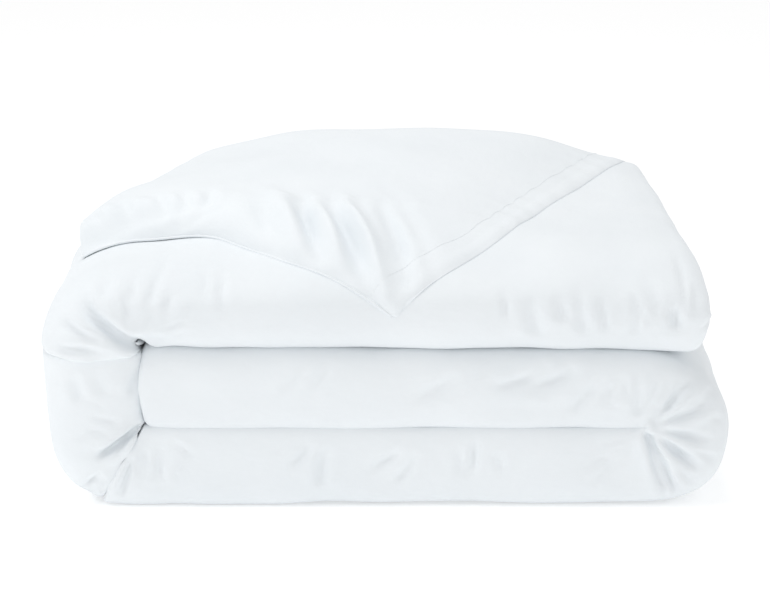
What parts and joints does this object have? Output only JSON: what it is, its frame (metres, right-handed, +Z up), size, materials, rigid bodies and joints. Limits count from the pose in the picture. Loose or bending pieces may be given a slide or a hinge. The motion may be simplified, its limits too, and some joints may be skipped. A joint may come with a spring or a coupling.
{
  "type": "folded duvet",
  "caption": "White duvet in a button-closed cotton cover, folded lengthwise and then over itself into a thick soft pile, with a corner of the top ply turned down over the front.",
  "frame": {"origin": "on the floor, under the middle of the folded pile's bounding box", "axes": "+X along the pile's longest side, towards the folded end of the lower layers; -Y towards the front, where the corner hangs down; +Z up"},
  "size_m": [0.72, 0.58, 0.3095],
  "materials": {
    "cover_cotton": "matt percale cotton",
    "casing_cotton": "dense down-proof cotton",
    "filling": "loose fluffy fibre",
    "button_plastic": "pearly satin",
    "tape_cotton": "twill tape",
    "label_satin": "printed satin, left blank"
  },
  "bodies": {
    "lower_stack": {"bottom_layer_cover": "cover_cotton", "bottom_layer_casing": "casing_cotton", "bottom_layer_filling": "filling", "middle_layer_cover": "cover_cotton", "middle_layer_casing": "casing_cotton", "middle_layer_filling": "filling", "right_fold_cover": "cover_cotton", "right_fold_casing": "casing_cotton", "right_fold_filling": "filling", "bottom_back_seam": "cover_cotton", "middle_back_seam": "cover_cotton", "care_label": "label_satin"},
    "left_side": {"left_side_cover": "cover_cotton", "left_side_casing": "casing_cotton", "left_side_filling": "filling", "lower_left_fold_cover": "cover_cotton", "lower_left_fold_casing": "casing_cotton", "lower_left_fold_filling": "filling", "upper_left_fold_cover": "cover_cotton", "upper_left_fold_casing": "casing_cotton", "upper_left_fold_filling": "filling"},
    "top_layer": {"top_layer_cover": "cover_cotton", "top_layer_casing": "casing_cotton", "top_layer_filling": "filling", "top_back_seam": "cover_cotton", "flap_fold_cover": "cover_cotton", "flap_fold_casing": "casing_cotton", "flap_fold_filling": "filling"},
    "corner_flap": {"flap_upper_panel": "cover_cotton", "flap_lower_panel": "cover_cotton", "flap_casing": "casing_cotton", "flap_filling": "filling", "hem_upper_ply": "cover_cotton", "hem_lower_ply": "cover_cotton", "hem_buttons": "button_plastic", "flap_side_seam": "cover_cotton", "corner_tie": "tape_cotton", "corner_loop": "tape_cotton", "flap_left_end_cover": "cover_cotton", "flap_left_end_casing": "casing_cotton", "flap_left_end_filling": "filling"}
  },
  "joints": [
    {"name": "left_fold", "type": "hinge", "parent": "lower_stack", "child": "left_side", "pos_m": [-0.264, 0, 0.096], "axis": [0, -1, 0], "range_deg": [0, 75], "deforming": ["lower_left_fold_cover", "lower_left_fold_casing", "lower_left_fold_filling"]},
    {"name": "top_fold", "type": "hinge", "parent": "left_side", "child": "top_layer", "pos_m": [-0.264, 0, 0.171], "axis": [0, -1, 0], "range_deg": [0, 75], "deforming": ["upper_left_fold_cover", "upper_left_fold_casing", "upper_left_fold_filling", "flap_left_end_cover", "flap_left_end_casing", "flap_left_end_filling"]},
    {"name": "flap_turn", "type": "hinge", "parent": "top_layer", "child": "corner_flap", "pos_m": [0, 0.238, 0.2675], "axis": [-1, 0, 0], "range_deg": [0, 150], "deforming": ["flap_fold_cover", "flap_fold_casing", "flap_fold_filling"]}
  ]
}
